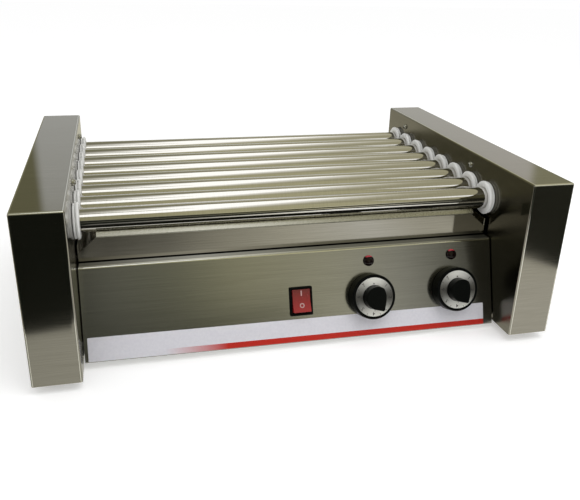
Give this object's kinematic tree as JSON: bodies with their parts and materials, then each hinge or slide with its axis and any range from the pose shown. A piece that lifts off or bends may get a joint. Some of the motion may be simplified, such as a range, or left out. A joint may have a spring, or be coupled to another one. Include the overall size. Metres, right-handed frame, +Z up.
{
  "type": "hot dog roller grill",
  "caption": "Counter-top hot dog roller grill: stainless side casings carry polished rollers over a drip tray, with a sloping control panel in front.",
  "frame": {"origin": "middle of the footprint, on the plane that the feet stand on", "axes": "+X along the rollers to the right as seen from the front, +Y from the front to the back, +Z up"},
  "size_m": [0.584, 0.419, 0.1955],
  "materials": {
    "brushed_stainless": "fine straight brushing, satin",
    "galvanised_steel": "plain galvanised sheet",
    "polished_stainless": "polished bright",
    "white_ptfe": "waxy white",
    "black_plastic": "moulded, semi-gloss",
    "red_plastic": "moulded, translucent red",
    "red_lens": "clear dark red lens",
    "dial_aluminium": "satin with black numbers",
    "rubber": "moulded",
    "dark_steel": "oiled",
    "heater_sheath": "heat-stained",
    "motor_enamel": "enamelled",
    "cream_plastic": "moulded phenolic"
  },
  "bodies": {
    "housing": {"base_pan": "galvanised_steel", "control_panel": "brushed_stainless", "rear_panel": "brushed_stainless", "left_inner_plate": "brushed_stainless", "right_inner_plate": "brushed_stainless", "left_side_cover": "brushed_stainless", "right_side_cover": "brushed_stainless", "front_left_foot": "rubber", "front_right_foot": "rubber", "rear_left_foot": "rubber", "rear_right_foot": "rubber", "cord_gland": "black_plastic", "switch_body": "black_plastic", "front_thermostat": "cream_plastic", "rear_thermostat": "cream_plastic", "front_heat_lamp": "red_lens", "rear_heat_lamp": "red_lens", "drive_chain": "dark_steel", "gear_motor": "motor_enamel", "front_heater_bank": "heater_sheath", "rear_heater_bank": "heater_sheath", "left_seal_1": "white_ptfe", "right_seal_1": "white_ptfe", "left_seal_2": "white_ptfe", "right_seal_2": "white_ptfe", "left_seal_3": "white_ptfe", "right_seal_3": "white_ptfe", "left_seal_4": "white_ptfe", "right_seal_4": "white_ptfe", "left_seal_5": "white_ptfe", "right_seal_5": "white_ptfe", "left_seal_6": "white_ptfe", "right_seal_6": "white_ptfe", "left_seal_7": "white_ptfe", "right_seal_7": "white_ptfe", "left_seal_8": "white_ptfe", "right_seal_8": "white_ptfe"},
    "drip_tray": {"drip_tray": "brushed_stainless"},
    "rocker": {"switch_rocker": "red_plastic"},
    "front_knob": {"front_heat_knob": "black_plastic", "front_dial_disc": "dial_aluminium"},
    "rear_knob": {"rear_heat_knob": "black_plastic", "rear_dial_disc": "dial_aluminium"},
    "drive_sprocket": {"drive_sprocket": "dark_steel"},
    "roller_1": {"roller_1": "polished_stainless", "sprocket_1": "dark_steel"},
    "roller_2": {"roller_2": "polished_stainless", "sprocket_2": "dark_steel"},
    "roller_3": {"roller_3": "polished_stainless", "sprocket_3": "dark_steel"},
    "roller_4": {"roller_4": "polished_stainless", "sprocket_4": "dark_steel"},
    "roller_5": {"roller_5": "polished_stainless", "sprocket_5": "dark_steel"},
    "roller_6": {"roller_6": "polished_stainless", "sprocket_6": "dark_steel"},
    "roller_7": {"roller_7": "polished_stainless", "sprocket_7": "dark_steel"},
    "roller_8": {"roller_8": "polished_stainless", "sprocket_8": "dark_steel"}
  },
  "joints": [
    {"name": "roller_1_spin", "type": "hinge", "parent": "housing", "child": "roller_1", "pos_m": [0, -0.1185, 0.1518], "axis": [1, 0, 0], "continuous": true},
    {"name": "roller_2_spin", "type": "hinge", "parent": "housing", "child": "roller_2", "pos_m": [0, -0.0773, 0.1518], "axis": [1, 0, 0], "continuous": true},
    {"name": "roller_3_spin", "type": "hinge", "parent": "housing", "child": "roller_3", "pos_m": [0, -0.0361, 0.1518], "axis": [1, 0, 0], "continuous": true},
    {"name": "roller_4_spin", "type": "hinge", "parent": "housing", "child": "roller_4", "pos_m": [0, 0.0051, 0.1518], "axis": [1, 0, 0], "continuous": true},
    {"name": "roller_5_spin", "type": "hinge", "parent": "housing", "child": "roller_5", "pos_m": [0, 0.0463, 0.1518], "axis": [1, 0, 0], "continuous": true},
    {"name": "roller_6_spin", "type": "hinge", "parent": "housing", "child": "roller_6", "pos_m": [0, 0.0875, 0.1518], "axis": [1, 0, 0], "continuous": true},
    {"name": "roller_7_spin", "type": "hinge", "parent": "housing", "child": "roller_7", "pos_m": [0, 0.1287, 0.1518], "axis": [1, 0, 0], "continuous": true},
    {"name": "roller_8_spin", "type": "hinge", "parent": "housing", "child": "roller_8", "pos_m": [0, 0.1699, 0.1518], "axis": [1, 0, 0], "continuous": true},
    {"name": "drive_sprocket_spin", "type": "hinge", "parent": "housing", "child": "drive_sprocket", "pos_m": [0, 0.0377, 0.0405], "axis": [1, 0, 0], "continuous": true},
    {"name": "tray_slide", "type": "slide", "parent": "housing", "child": "drip_tray", "axis": [0, -1, 0], "range_m": [0, 0.28]},
    {"name": "rocker_press", "type": "hinge", "parent": "housing", "child": "rocker", "pos_m": [0, -0.15573, 0.05234], "axis": [1, 0, 0], "range_deg": [0, 16]},
    {"name": "front_knob_turn", "type": "hinge", "parent": "housing", "child": "front_knob", "pos_m": [0.0838, -0.15741, 0.05208], "axis": [0, -0.9455, 0.3256], "range_deg": [0, 315]},
    {"name": "rear_knob_turn", "type": "hinge", "parent": "housing", "child": "rear_knob", "pos_m": [0.189, -0.15741, 0.05208], "axis": [0, -0.9455, 0.3256], "range_deg": [0, 315]}
  ],
  "couplings": [
    {"joint": "roller_2_spin", "follows": "roller_1_spin", "ratio": 1},
    {"joint": "roller_3_spin", "follows": "roller_1_spin", "ratio": 1},
    {"joint": "roller_4_spin", "follows": "roller_1_spin", "ratio": 1},
    {"joint": "roller_5_spin", "follows": "roller_1_spin", "ratio": 1},
    {"joint": "roller_6_spin", "follows": "roller_1_spin", "ratio": 1},
    {"joint": "roller_7_spin", "follows": "roller_1_spin", "ratio": 1},
    {"joint": "roller_8_spin", "follows": "roller_1_spin", "ratio": 1},
    {"joint": "drive_sprocket_spin", "follows": "roller_1_spin", "ratio": 1}
  ]
}
